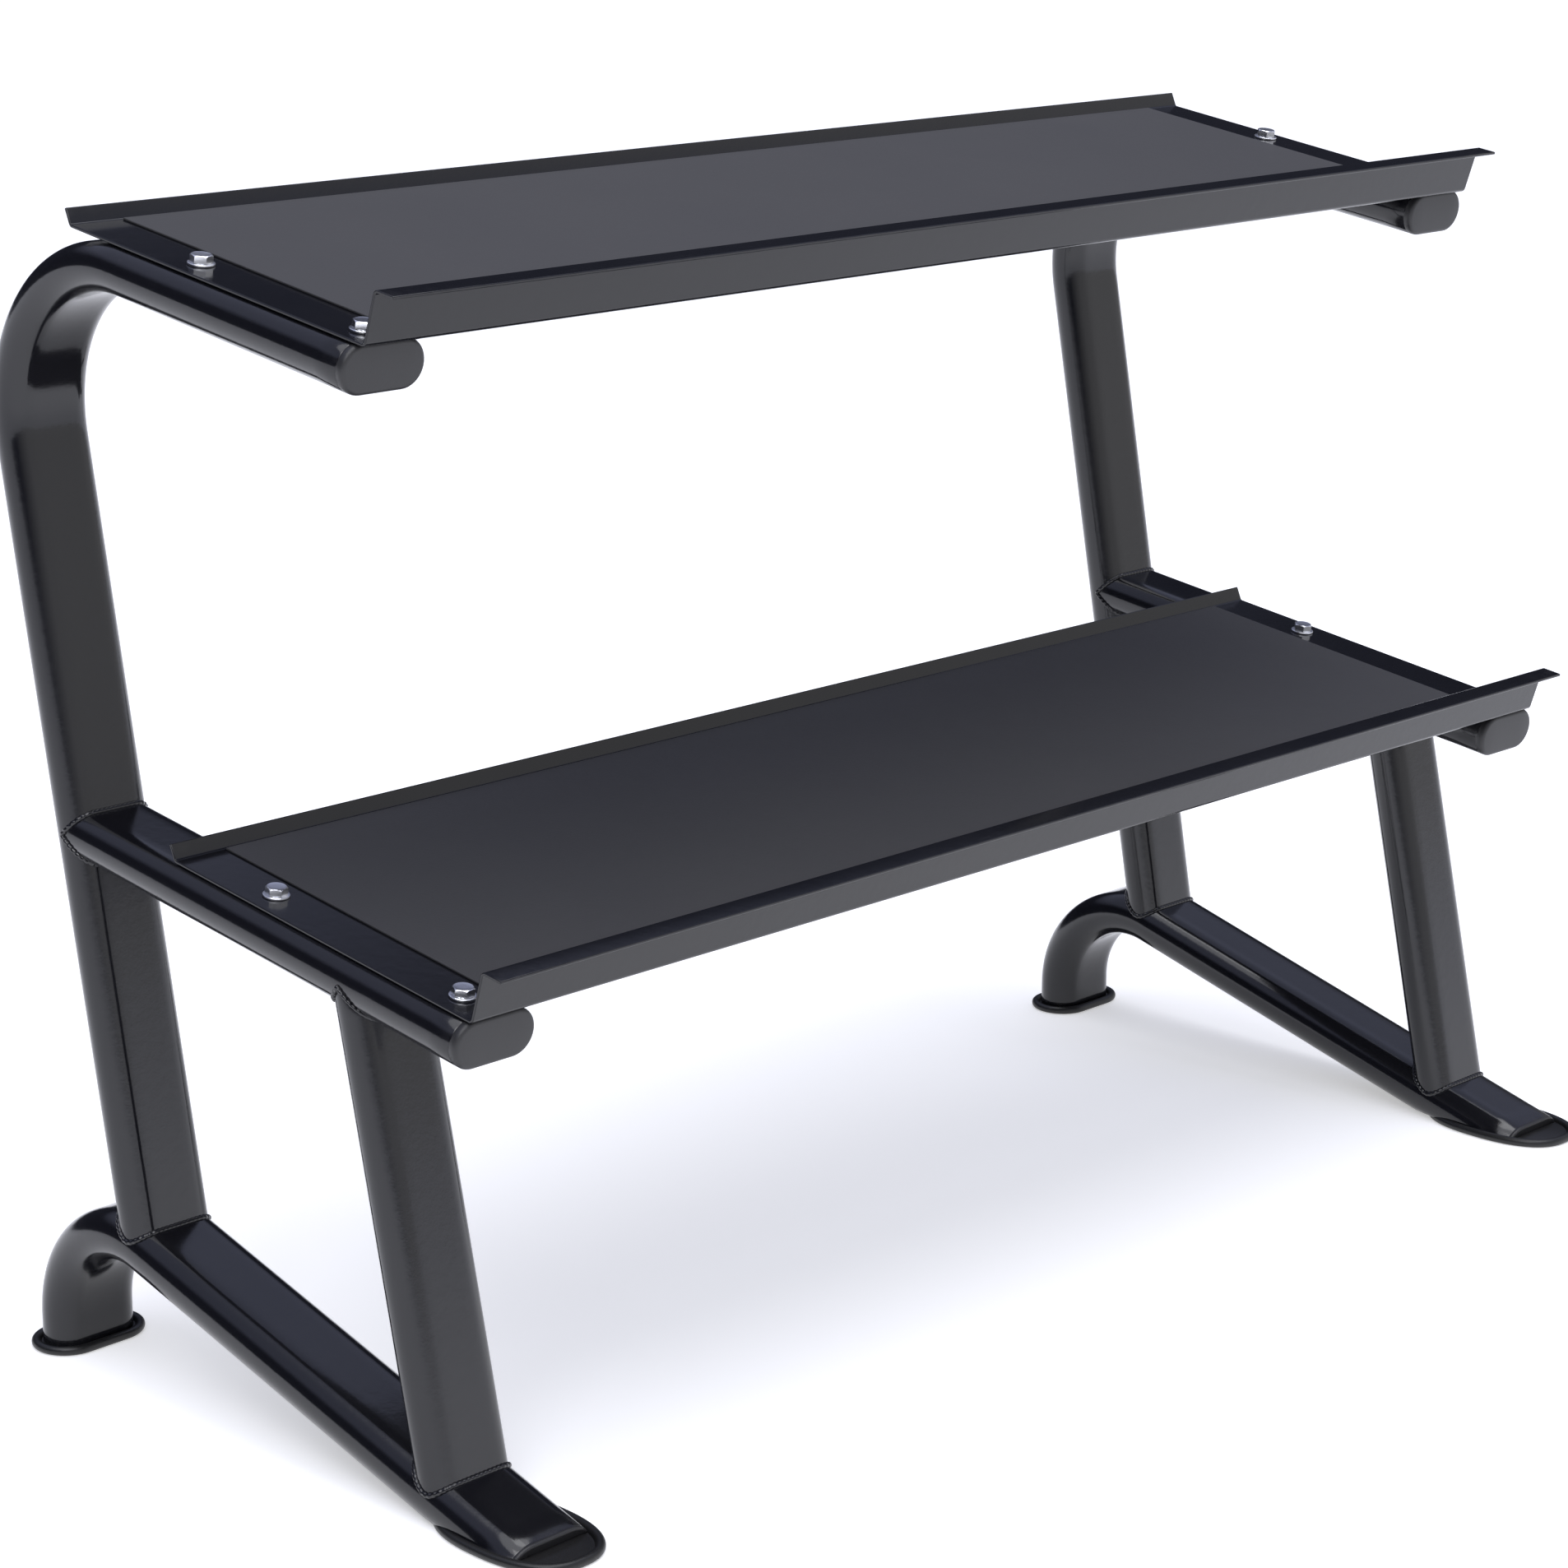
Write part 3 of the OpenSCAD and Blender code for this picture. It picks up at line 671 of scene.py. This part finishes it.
class RACK_OT_end_caps(bpy.types.Operator):
    """Build the caps on the ends of the arms and of the foot tubes"""
    bl_idname = "rack.end_caps"
    bl_label = "End caps"

    def execute(self, context):
        s = context.scene.rack_sizes
        v = side_view(s)
        arm = cap_profile(s.cap_len, s.cap_edge, s.seam, CAP_CROWN)
        nose = cap_profile(s.nose_cap_t, s.nose_cap_t * NOSE_EDGE, s.seam, 0.0)
        for name, side in SIDES:
            x = frame_centre(side)
            caps = {
                "upper_arm_cap": (s.tube_w, s.tube_t, v.upper_end, s.upper_tilt, arm),
                "lower_arm_cap": (s.tube_w, s.tube_t, v.lower_end, s.lower_tilt, arm),
                "foot_nose_cap": (s.foot_w, s.foot_t, v.nose, s.foot_fall, nose),
            }
            for kind, (width, thick, end, tilt, profile) in caps.items():
                grid = cap_surface(x, width, thick, end, tilt, profile)
                if kind == "foot_nose_cap":
                    grid[..., 2] = np.maximum(grid[..., 2], s.pad_t)
                add_piece(f"{name}_{kind}_shell", *closed_grids(grid[None], fan_last=False),
                          finish("Moulded cap plastic"), f"{name}_{kind}", "cap_plastic")
        return {"FINISHED"}


def pad_profile(reach, pad_t, bead_d):
    """Section of a foot pad as (distance from the middle line, height), from under to top.

    It runs out along the ground, round the bead on three quarters of a circle, down into a
    shallow channel beside the tube and back in along the pad's floor.
    """
    r = bead_d / 2
    turn = np.linspace(-np.pi / 2, np.pi * 0.92, 22)
    bead = np.stack([reach - r + r * np.cos(turn), r + r * np.sin(turn)], axis=-1)
    ground = np.array([[0.0, PAD_LIFT], [reach - 2.4 * r, PAD_LIFT], [reach - 1.9 * r, 0.0]])
    channel = np.array([[reach - 2.12 * r, pad_t * 0.92], [reach - 2.9 * r, pad_t * 0.9],
                        [reach - 3.2 * r, pad_t], [0.0, pad_t]])
    return np.concatenate([ground, bead, channel])


class RACK_OT_foot_pads(bpy.types.Operator):
    """Build the rear and front foot pads with their round beads"""
    bl_idname = "rack.foot_pads"
    bl_label = "Foot pads"

    def execute(self, context):
        s = context.scene.rack_sizes
        v = side_view(s)
        flat = s.foot_w - s.foot_t
        rear = pad_profile(s.foot_t / 2 + s.rear_over, s.pad_t, s.bead_d)
        start, c, sine = oval_rays(flat, around=32)
        for name, side in SIDES:
            x = frame_centre(side)
            grids = {"rear": grid_of(x + start + rear[:, :1] * c, v.rear_y + rear[:, :1] * sine,
                                     rear[:, 1:]),
                     "front": self.front_surface(s, x)}
            for end, grid in grids.items():
                add_piece(f"{name}_{end}_pad", *closed_grids(grid[None], False, False),
                          finish("Pad rubber"), f"{name}_{end}_foot_pad", "pad_rubber")
        return {"FINISHED"}

    def front_surface(self, s, x):
        """The front pad: a rounded oval with the pad's section set square to its outline.

        On the outline |x/a| and |y/b|, each to the pad's power, add up to one. Near the middle
        the section shrinks evenly to the centre.
        """
        t = np.linspace(0, 2 * np.pi, 160, endpoint=False)
        power = 2 / PAD_POWER
        a, b = s.front_pad_w / 2, s.front_pad_len / 2
        outline = np.stack([a * np.sign(np.cos(t)) * np.abs(np.cos(t)) ** power,
                            b * np.sign(np.sin(t)) * np.abs(np.sin(t)) ** power], axis=-1)
        tangent = np.roll(outline, -1, axis=0) - np.roll(outline, 1, axis=0)
        outward = np.stack([tangent[:, 1], -tangent[:, 0]], axis=-1)
        outward /= np.linalg.norm(outward, axis=1, keepdims=True)
        section = pad_profile(a, s.pad_t, s.bead_d)
        inner = a - 4.0 * s.bead_d / 2
        depth = np.minimum(a - section[:, :1], a - inner)
        shrink = np.clip(section[:, :1] / inner, 0, 1)
        ring = (outline[None] - depth[..., None] * outward[None]) * shrink[..., None]
        return grid_of(x + ring[..., 0], CAD_LOW[1] + b + ring[..., 1], section[:, 1:])


def weld_curve(width, thick, start, heading, other, sign):
    """Closed curve where a flat-oval tube's skin meets another tube's skin.

    Every ray of the tube's outline is followed along the heading until its distance from the other
    tube's centre line equals that tube's half thickness at that x: the full half on the flat, and
    the height of the side circle beyond it. Returns points, outward directions and the heading.
    """
    point, direction, other_w, other_t = other
    base, c, sine = oval_rays(width - thick, around=36, along=24)
    radius = thick / 2
    x = base + radius * c
    off = radius * sine
    past = np.clip(np.abs(x) - (other_w - other_t) / 2, 0, other_t / 2)
    height = np.sqrt((other_t / 2) ** 2 - past ** 2)
    n_other, n_own = left_of(direction), left_of(heading)
    gap = sign * height - (start - point) @ n_other - off * (n_own @ n_other)
    along = gap / (ahead(heading) @ n_other)
    yz = start + along[:, None] * ahead(heading) + off[:, None] * n_own
    points = np.column_stack([x, yz])
    outward = np.column_stack([c, sine * n_own[0], sine * n_own[1]])
    return points, outward, np.array([0.0, *ahead(heading)])


def weld_surface(curve, radius, ripples):
    """A round bead along a closed curve; its radius swells and sinks evenly like laid drops."""
    points, outward, axis = curve
    steps = np.linalg.norm(np.roll(points, -1, axis=0) - points, axis=1)
    way = np.concatenate([[0], np.cumsum(steps)[:-1]]) / steps.sum()
    t = np.linspace(0, 1, 320, endpoint=False)
    closed_way = np.append(way, 1.0)
    spread = [np.interp(t, closed_way, np.append(column, column[0]))
              for column in np.column_stack([points, outward]).T]
    centre = np.stack(spread[:3], axis=-1)
    out = np.stack(spread[3:], axis=-1)
    phi = np.linspace(0, 2 * np.pi, 12, endpoint=False)
    swell = radius * (1 + WELD_SWELL * np.cos(2 * np.pi * ripples * t))[:, None, None]
    spoke = np.cos(phi)[:, None] * out[:, None] + np.sin(phi)[:, None] * axis
    return centre[:, None] + swell * spoke


class RACK_OT_welds(bpy.types.Operator):
    """Build the weld beads round the four joints of each side frame"""
    bl_idname = "rack.welds"
    bl_label = "Weld beads"

    def execute(self, context):
        s = context.scene.rack_sizes
        v = side_view(s)
        foot = (v.nose, s.foot_fall, s.foot_w, s.foot_t)
        arm = (v.lower_end, s.lower_tilt, s.tube_w, s.tube_t)
        upright = (v.upright_base, v.upright_a, s.tube_w, s.tube_t)
        joints = [(v.upright_base, v.upright_a, foot, 1), (v.leg_base, v.leg_a, foot, 1),
                  (v.leg_base, v.leg_a, arm, -1), (v.lower_root, s.lower_tilt + np.pi, upright, 1)]
        for name, side in SIDES:
            beads = np.stack([
                weld_surface(weld_curve(s.tube_w, s.tube_t, start, heading, other, sign),
                             s.weld_r, WELD_RIPPLES)
                for start, heading, other, sign in joints])
            beads[..., 0] += frame_centre(side)
            add_piece(f"{name}_welds", *rings_grid(beads), finish("Gloss black powder coat"),
                      f"{name}_weld_fillets", "weld_black", sharp=80.0)
        return {"FINISHED"}


def offset_corners(corners, distance):
    """Corners of a bent line moved to its left by a distance, each leg kept parallel."""
    legs = np.diff(corners, axis=0)
    headings = np.arctan2(legs[:, 1], legs[:, 0])
    moved = [corners[0] + distance * left_of(headings[0])]
    for corner, a, b in zip(corners[1:-1], headings[:-1], headings[1:]):
        moved.append(meet(corner + distance * left_of(a), a, corner + distance * left_of(b), b))
    moved.append(corners[-1] + distance * left_of(headings[-1]))
    return np.array(moved)


def filleted(corners, radii, count=7):
    """Points of a bent line whose corners are arcs.

    Each arc starts and ends one tangent length from its corner, which is the radius times the
    tangent of half the turn, and its centre is one radius beside the line.
    """
    legs = np.diff(corners, axis=0)
    headings = np.arctan2(legs[:, 1], legs[:, 0])
    line = [corners[:1]]
    for corner, a, b, radius in zip(corners[1:-1], headings[:-1], headings[1:], radii):
        turn = (b - a + np.pi) % (2 * np.pi) - np.pi
        begin = corner - radius * np.tan(abs(turn) / 2) * ahead(a)
        side = np.sign(turn)
        centre = begin + side * radius * left_of(a)
        h = a + np.linspace(0, turn, count)
        line.append(centre - side * radius * left_of(h).T)
    line.append(corners[-1:])
    return np.concatenate(line)


def tray_section(s):
    """Lower and upper line of the folded sheet, x to the rear from the front fold, lip first."""
    flange = np.array([-s.flange_flare, s.flange_h])
    corners = np.array([flange - [s.lip, 0], flange, [0, 0], [s.tray_depth, 0],
                        [s.tray_depth + s.rear_flare, s.rear_h]])
    inside, outside = s.fold_r, s.fold_r + s.sheet_t
    lower = filleted(corners, (inside, outside, outside))
    upper = filleted(offset_corners(corners, s.sheet_t), (outside, inside, inside))
    return lower, upper


def on_arm(points, end, tilt, overhang, half_t):
    """Side-view points given along and above an arm's top face, from the tray's front fold."""
    origin = end + half_t * left_of(tilt) - overhang * ahead(tilt)
    return origin + points[..., :1] * ahead(tilt) + points[..., 1:] * left_of(tilt)


def tier(s, v, name):
    """The end, tilt and overhang that place a tray on its arms."""
    if name == "upper":
        return v.upper_end, s.upper_tilt, s.upper_overhang
    return v.lower_end, s.lower_tilt, s.lower_overhang


def extruded(section_low, section_high, xs):
    """Points and faces of a sheet between two lines of the side view, carried along x."""
    loop = np.concatenate([section_low, section_high[::-1]])
    rows, columns = len(xs), len(loop)
    grid = grid_of(xs[:, None], *loop.T)
    i = np.arange(len(section_low) - 1)
    end = np.stack([i, i + 1, columns - 2 - i, columns - 1 - i], axis=-1)
    faces = np.concatenate([grid_faces(rows, columns), end, (end + (rows - 1) * columns)[:, ::-1]])
    return grid.reshape(-1, 3), faces.tolist()


class RACK_OT_trays(bpy.types.Operator):
    """Build the two folded trays"""
    bl_idname = "rack.trays"
    bl_label = "Trays"

    def execute(self, context):
        s = context.scene.rack_sizes
        v = side_view(s)
        lower, upper = tray_section(s)
        reach = frame_centre(1) + s.tube_w / 2 - s.tray_end_in
        for name in TIERS:
            place = (*tier(s, v, name), s.tube_t / 2)
            points, faces = extruded(on_arm(lower, *place), on_arm(upper, *place),
                                     np.linspace(-reach, reach, TRAY_STEPS))
            piece = add_piece(f"{name}_tray_sheet", points, faces, finish("Tray powder coat"),
                              f"{name}_tray", "tray_black", sharp=30.0)
            round_edges(piece, SHEET_EDGE)
        return {"FINISHED"}


class RACK_OT_liners(bpy.types.Operator):
    """Build the rubber liners that lie on the tray floors"""
    bl_idname = "rack.liners"
    bl_label = "Liners"

    def execute(self, context):
        s = context.scene.rack_sizes
        v = side_view(s)
        front_a = np.pi / 2 - np.arctan2(s.flange_flare, s.flange_h)
        rear_a = np.pi / 2 - np.arctan2(s.rear_flare, s.rear_h)
        outside = s.fold_r + s.sheet_t
        front = outside * np.tan(front_a / 2) + LINER_GAP
        rear = s.tray_depth - outside * np.tan(rear_a / 2) - LINER_GAP
        reach = frame_centre(1) + s.bolt_out - s.liner_in
        along = np.linspace(front, rear, LINER_ROWS)
        low = np.stack([along, np.full(LINER_ROWS, s.sheet_t)], axis=-1)
        for name in TIERS:
            place = (*tier(s, v, name), s.tube_t / 2)
            points, faces = extruded(on_arm(low, *place), on_arm(low + [0, s.liner_t], *place),
                                     np.linspace(-reach, reach, LINER_STEPS))
            piece = add_piece(f"{name}_liner_sheet", points, faces, finish("Liner rubber sheet"),
                              f"{name}_tray_liner", "liner_rubber", sharp=30.0)
            round_edges(piece, LINER_EDGE)
        return {"FINISHED"}


def hex_head_surface(across, height, chamfer):
    """A hexagon head as a grid of rings by angles.

    The radius is the hexagon's at that angle, but no more than a cone's that falls away over the
    chamfer; past the rim the rings shrink to the centre over a very shallow dish.
    """
    theta = np.linspace(0, 2 * np.pi, 72, endpoint=False)
    hexagon = across / 2 / np.cos((theta + np.pi / 6) % (np.pi / 3) - np.pi / 6)
    corner = across / 2 / np.cos(np.pi / 6)
    z = np.concatenate([[0.0, chamfer * 0.4], np.linspace(chamfer, height, 16)])
    fall = np.clip((z - (height - chamfer)) / chamfer, 0, 1)
    low = np.clip(1 - z / (chamfer * 0.4), 0, 1)
    cone = corner - fall * (corner - across / 2 * 0.95) - low * (corner - across / 2)
    sides = np.minimum(hexagon[None], cone[:, None])
    share = np.linspace(1, 0, 8)[1:]
    radius = np.concatenate([sides, sides[-1] * share[:, None]])
    z = np.concatenate([z, height - HEAD_DISH * (1 - share ** 4)])
    return grid_of(radius * np.cos(theta), radius * np.sin(theta), z[:, None])


def washer_surface(inner, outer, height):
    """A flat washer: a rectangle with round corners turned round its axis.

    The section's two parts are the cosine and the sine of an angle, each raised to the washer's
    power with its sign kept, times half the section's width and height.
    """
    power = WASHER_POWER
    phi = np.linspace(0, 2 * np.pi, 24, endpoint=False)
    half, middle = (outer - inner) / 2, (outer + inner) / 2
    r = middle + half * np.sign(np.cos(phi)) * np.abs(np.cos(phi)) ** power
    z = height / 2 * (1 + np.sign(np.sin(phi)) * np.abs(np.sin(phi)) ** power)
    theta = np.linspace(0, 2 * np.pi, 64, endpoint=False)[:, None]
    return grid_of(r * np.cos(theta), r * np.sin(theta), z)


def bolt_places(s, v, name):
    """Places of a tray's four bolts on the tray floor: a matrix for each."""
    end, tilt, overhang = tier(s, v, name)
    low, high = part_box(f"{name}_tray_washers")
    x = frame_centre(1) + s.bolt_out
    radius = WASHER_OUTER * s.bolt_d
    reach_y = radius * np.cos(tilt)
    rows = (low[1] + reach_y, high[1] - reach_y)
    line = end + (s.tube_t / 2 + s.sheet_t) * left_of(tilt)
    places = []
    for y in rows:
        for side in (-1, 1):
            z = line[1] + (y - line[0]) * np.tan(tilt)
            places.append(Matrix.Translation((side * x, y, z)) @ Matrix.Rotation(tilt, 4, "X"))
    return places


def repeated(surface, places, lift, turns):
    """Copies of a surface at each place, lifted along its axis and turned about it."""
    copies = []
    for place, turn in zip(places, turns):
        m = np.array(place @ Matrix.Translation((0, 0, lift)) @ Matrix.Rotation(turn, 4, "Z"))
        copies.append(surface @ m[:3, :3].T + m[:3, 3])
    return np.stack(copies)


class RACK_OT_bolts(bpy.types.Operator):
    """Build the bolts and washers that hold the trays, and finish their weld nuts"""
    bl_idname = "rack.bolts"
    bl_label = "Bolts and washers"

    def execute(self, context):
        s = context.scene.rack_sizes
        v = side_view(s)
        d = s.bolt_d
        head = hex_head_surface(HEAD_ACROSS * d, HEAD_HEIGHT * d, HEAD_CHAMFER * d)
        washer = washer_surface(WASHER_INNER * d, WASHER_OUTER * d, WASHER_HEIGHT * d)
        turns = np.random.default_rng(7).uniform(0, np.pi / 3, 4)
        for name in TIERS:
            places = bolt_places(s, v, name)
            heads = repeated(head, places, WASHER_HEIGHT * d, turns)
            add_piece(f"{name}_bolt_heads", *closed_grids(heads, fan_last=False),
                      finish("Bright zinc plate"), f"{name}_tray_bolts", "bright_zinc", sharp=28.0)
            add_piece(f"{name}_washer_set", *rings_grid(repeated(washer, places, 0.0, turns)),
                      finish("Bright zinc plate"), f"{name}_tray_washers", "bright_zinc")
            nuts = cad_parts[f"{name}_weld_nuts"]
            for slot in nuts.material_slots:
                slot.material = finish("Plain steel")
        return {"FINISHED"}


# Stage

def build_world():
    """A soft studio: bright low down in front, near black behind and blue-grey overhead.

    The camera itself sees a pale backdrop in its place.
    """
    behind, ahead_low = (0.022, 0.024, 0.036, 1.0), (0.80, 0.80, 0.82, 1.0)
    overhead, backdrop = (0.40, 0.43, 0.60, 1.0), (0.97, 0.97, 0.98, 1.0)
    world = bpy.data.worlds.new("Studio")
    world.use_nodes = True
    tree = world.node_tree
    background = tree.nodes["Background"]
    place = tree.nodes.new("ShaderNodeTexCoord").outputs["Generated"]
    parts = tree.nodes.new("ShaderNodeSeparateXYZ")
    wire(tree, place, parts.inputs[0])
    toward = maths(tree, "ADD", maths(tree, "MULTIPLY", parts.outputs["X"], 0.45),
                   maths(tree, "MULTIPLY", parts.outputs["Y"], -0.89))
    front = remap(tree, toward, 0.0, 0.85)
    lit = blend(tree, front, behind, ahead_low)
    top = remap(tree, parts.outputs["Z"], 0.42, 0.60)
    lit = blend(tree, top, lit, overhead)
    seen = tree.nodes.new("ShaderNodeLightPath").outputs["Is Camera Ray"]
    wire(tree, blend(tree, seen, lit, backdrop), background.inputs["Color"])
    background.inputs["Strength"].default_value = 1.0
    bpy.context.scene.world = world


def area_light(name, place, target, size, power):
    """A square soft light at a place, turned to a target."""
    light = bpy.data.lights.new(name, "AREA")
    light.shape = "SQUARE"
    light.size = size
    light.energy = power
    lamp = bpy.data.objects.new(name, light)
    bpy.context.scene.collection.objects.link(lamp)
    place, target = np.array(place), np.array(target)
    z = (place - target) / np.linalg.norm(place - target)
    x = np.cross([0, 0, 1], z)
    x /= np.linalg.norm(x)
    y = np.cross(z, x)
    m = np.eye(4)
    m[:3, :3] = np.stack([x, y, z], axis=-1)
    m[:3, 3] = place
    lamp.matrix_world = Matrix(m.tolist())


class RACK_OT_stage(bpy.types.Operator):
    """Set up the floor, the lights and the camera"""
    bl_idname = "rack.stage"
    bl_label = "Stage"

    def execute(self, context):
        scene = context.scene
        build_world()
        mesh = bpy.data.meshes.new("Floor")
        corners = [(x * FLOOR_REACH, y * FLOOR_REACH, 0) for x, y in SQUARE]
        mesh.from_pydata(corners, [], [(0, 1, 2, 3)])
        material = bpy.data.materials.new("Pale floor")
        material.use_nodes = True
        shader = material.node_tree.nodes["Principled BSDF"]
        shader.inputs["Base Color"].default_value = (*scene.rack_finish.floor, 1.0)
        shader.inputs["Roughness"].default_value = 0.9
        shader.inputs["Specular IOR Level"].default_value = 0.1
        shader.inputs["Emission Color"].default_value = (1.0, 1.0, 1.0, 1.0)
        shader.inputs["Emission Strength"].default_value = FLOOR_GLOW
        mesh.materials.append(material)
        floor = bpy.data.objects.new("Floor", mesh)
        scene.collection.objects.link(floor)
        floor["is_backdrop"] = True
        for name, place, size, power in LIGHTS:
            area_light(name, place, LIT_POINT, size, power)
        sun = bpy.data.lights.new("Sky", "SUN")
        sun.energy = SUN_POWER
        sun.angle = np.radians(SUN_WIDTH)
        sky = bpy.data.objects.new("Sky", sun)
        sky.rotation_euler = (*np.radians(SUN_TURN), 0.0)
        scene.collection.objects.link(sky)
        self.add_camera(scene)
        return {"FINISHED"}

    def add_camera(self, scene):
        """Camera a little above the rack, off its left front corner."""
        camera = bpy.data.cameras.new("Camera")
        camera.lens = EYE_LENS
        camera.sensor_width = EYE_SENSOR
        camera.clip_end = EYE_REACH
        eye = bpy.data.objects.new("Camera", camera)
        scene.collection.objects.link(eye)
        eye.location = EYE_PLACE
        eye.rotation_euler = (np.radians(90 - EYE_DOWN), 0.0, np.radians(EYE_TURN))
        scene.camera = eye
        scene.view_settings.view_transform = "Standard"


class RACK_PT_panel(bpy.types.Panel):
    """Lists the rack's pieces, sizes and colours"""
    bl_idname = "RACK_PT_panel"
    bl_label = "Dumbbell Rack"
    bl_space_type = "VIEW_3D"
    bl_region_type = "UI"
    bl_category = "Rack"

    def draw(self, context):
        column = self.layout.column(align=True)
        for operator in OPERATORS:
            column.operator(operator.bl_idname)
        for group in (context.scene.rack_sizes, context.scene.rack_finish):
            column = self.layout.column(align=True)
            for name in group.__annotations__:
                column.prop(group, name)


OPERATORS = (RACK_OT_side_tubes, RACK_OT_end_caps, RACK_OT_foot_pads, RACK_OT_welds, RACK_OT_trays,
             RACK_OT_liners, RACK_OT_bolts, RACK_OT_stage)
CLASSES = (RackSizes, RackFinish, *OPERATORS, RACK_PT_panel)


def register():
    for cls in CLASSES:
        bpy.utils.register_class(cls)
    bpy.types.Scene.rack_sizes = bpy.props.PointerProperty(type=RackSizes)
    bpy.types.Scene.rack_finish = bpy.props.PointerProperty(type=RackFinish)


def unregister():
    del bpy.types.Scene.rack_finish
    del bpy.types.Scene.rack_sizes
    for cls in reversed(CLASSES):
        bpy.utils.unregister_class(cls)


def main():
    """Registers the add-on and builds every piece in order."""
    register()
    bpy.ops.rack.side_tubes()
    bpy.ops.rack.end_caps()
    bpy.ops.rack.foot_pads()
    bpy.ops.rack.welds()
    bpy.ops.rack.trays()
    bpy.ops.rack.liners()
    bpy.ops.rack.bolts()
    bpy.ops.rack.stage()


if __name__ == "__main__":
    main()
